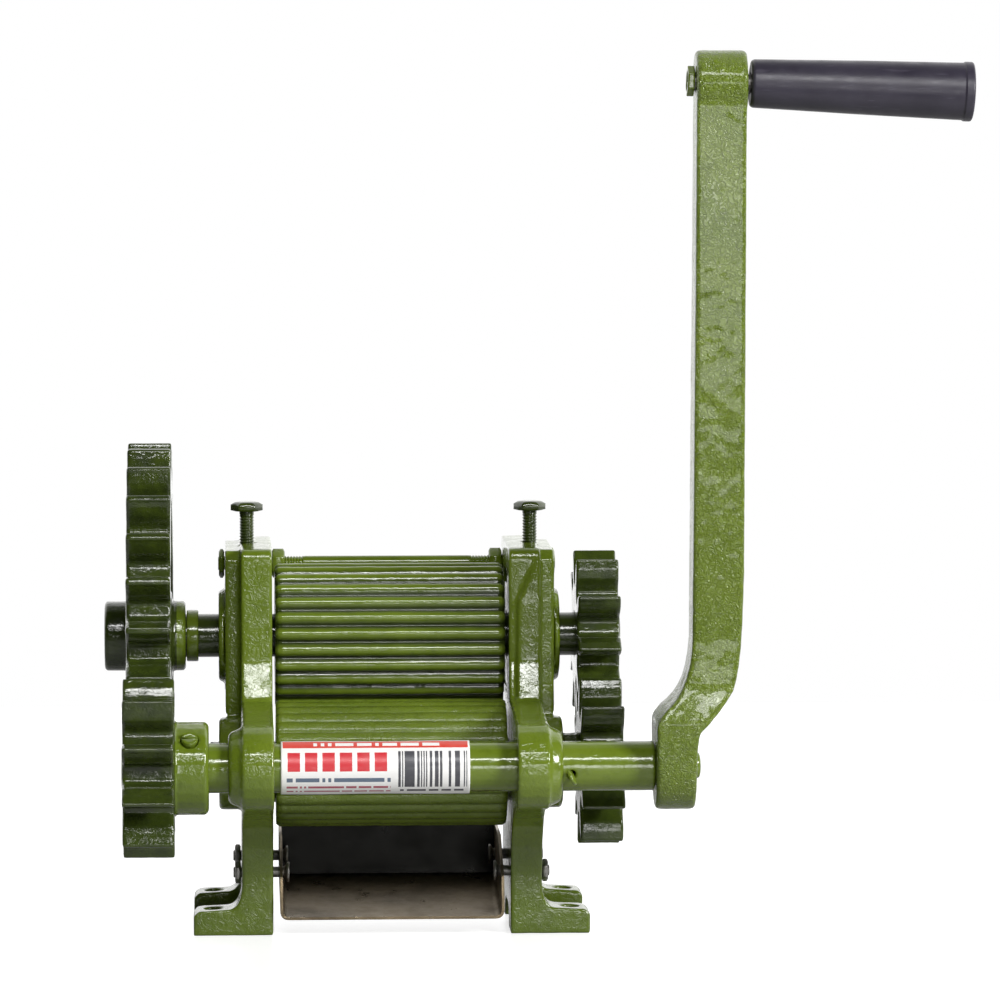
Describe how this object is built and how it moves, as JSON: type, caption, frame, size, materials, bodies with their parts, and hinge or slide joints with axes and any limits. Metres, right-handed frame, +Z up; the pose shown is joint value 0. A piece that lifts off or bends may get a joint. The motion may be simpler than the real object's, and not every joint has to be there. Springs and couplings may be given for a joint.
{
  "type": "hand-cranked cane mill",
  "caption": "Small hand-cranked cane mill: cast side frames, fluted rollers, crank with pinion and drive gear, adjusting bolts and a sheet juice tray.",
  "frame": {"origin": "centre of the footprint box, on the bench", "axes": "+X from the drive gear to the crank, along the rollers; +Y from the feed side to the outlet side; +Z up"},
  "size_m": [0.3652, 0.2176, 0.378],
  "materials": {
    "green_enamel": "gloss enamel over rough cast iron",
    "bare_steel": "plain steel",
    "zinc_sheet": "dull galvanised sheet",
    "black_plastic": "semi-gloss moulded plastic",
    "label_paper": "coated paper"
  },
  "bodies": {
    "frame": {"right_side_frame": "green_enamel", "left_side_frame": "green_enamel", "juice_tray": "zinc_sheet", "right_front_tray_screw": "bare_steel", "left_front_tray_screw": "bare_steel", "right_front_tray_nut": "bare_steel", "left_front_tray_nut": "bare_steel", "right_rear_tray_screw": "bare_steel", "left_rear_tray_screw": "bare_steel", "right_rear_tray_nut": "bare_steel", "left_rear_tray_nut": "bare_steel", "upper_tie_rod": "green_enamel", "right_upper_tie_inner_nut": "green_enamel", "left_upper_tie_inner_nut": "green_enamel", "right_upper_tie_outer_nut": "green_enamel", "left_upper_tie_outer_nut": "green_enamel", "lower_tie_rod": "green_enamel", "right_lower_tie_inner_nut": "green_enamel", "left_lower_tie_inner_nut": "green_enamel", "right_lower_tie_outer_nut": "green_enamel", "left_lower_tie_outer_nut": "green_enamel"},
    "upper_bearings": {"right_bearing_block": "green_enamel", "left_bearing_block": "green_enamel"},
    "left_bolt": {"left_adjusting_bolt": "green_enamel"},
    "right_bolt": {"right_adjusting_bolt": "green_enamel"},
    "upper_roller": {"upper_roller": "green_enamel", "upper_roller_shaft": "green_enamel", "drive_gear": "green_enamel", "drive_gear_set_screw": "green_enamel", "shaft_collar": "green_enamel", "upper_roller_gear": "green_enamel"},
    "lower_roller": {"lower_roller": "green_enamel", "lower_roller_shaft": "green_enamel", "lower_roller_gear": "green_enamel"},
    "crank": {"crank_shaft": "green_enamel", "crank_pinion": "green_enamel", "pinion_set_screw": "green_enamel", "split_pin": "bare_steel", "shaft_label": "label_paper", "crank_arm": "green_enamel", "grip_spindle": "bare_steel", "spindle_nut": "green_enamel"},
    "grip": {"grip": "black_plastic"}
  },
  "joints": [
    {"name": "crank_spin", "type": "hinge", "parent": "frame", "child": "crank", "pos_m": [-0.05934, -0.07249, 0.0782], "axis": [1, 0, 0], "continuous": true},
    {"name": "roller_gap", "type": "slide", "parent": "frame", "child": "upper_bearings", "axis": [0, 0, 1], "range_m": [0, 0.0012]},
    {"name": "left_bolt_turn", "type": "hinge", "parent": "upper_bearings", "child": "left_bolt", "pos_m": [-0.12084, 0.02501, 0.16], "axis": [0, 0, 1], "range_deg": [0, 340.7]},
    {"name": "right_bolt_turn", "type": "hinge", "parent": "upper_bearings", "child": "right_bolt", "pos_m": [0.00216, 0.02501, 0.16], "axis": [0, 0, 1], "range_deg": [0, 340.7]},
    {"name": "upper_roller_spin", "type": "hinge", "parent": "upper_bearings", "child": "upper_roller", "pos_m": [-0.05934, 0.02501, 0.1237], "axis": [1, 0, 0], "continuous": true},
    {"name": "lower_roller_spin", "type": "hinge", "parent": "frame", "child": "lower_roller", "pos_m": [-0.05934, -0.00459, 0.0715], "axis": [1, 0, 0], "continuous": true},
    {"name": "grip_spin", "type": "hinge", "parent": "crank", "child": "grip", "pos_m": [0.07666, -0.07249, 0.3645], "axis": [0.9993, 0, -0.0384], "continuous": true}
  ],
  "couplings": [
    {"joint": "upper_roller_spin", "follows": "crank_spin", "ratio": -0.4},
    {"joint": "lower_roller_spin", "follows": "crank_spin", "ratio": 0.4},
    {"joint": "left_bolt_turn", "follows": "roller_gap", "rad_per_m": 4947.4},
    {"joint": "right_bolt_turn", "follows": "roller_gap", "rad_per_m": 4947.4}
  ]
}
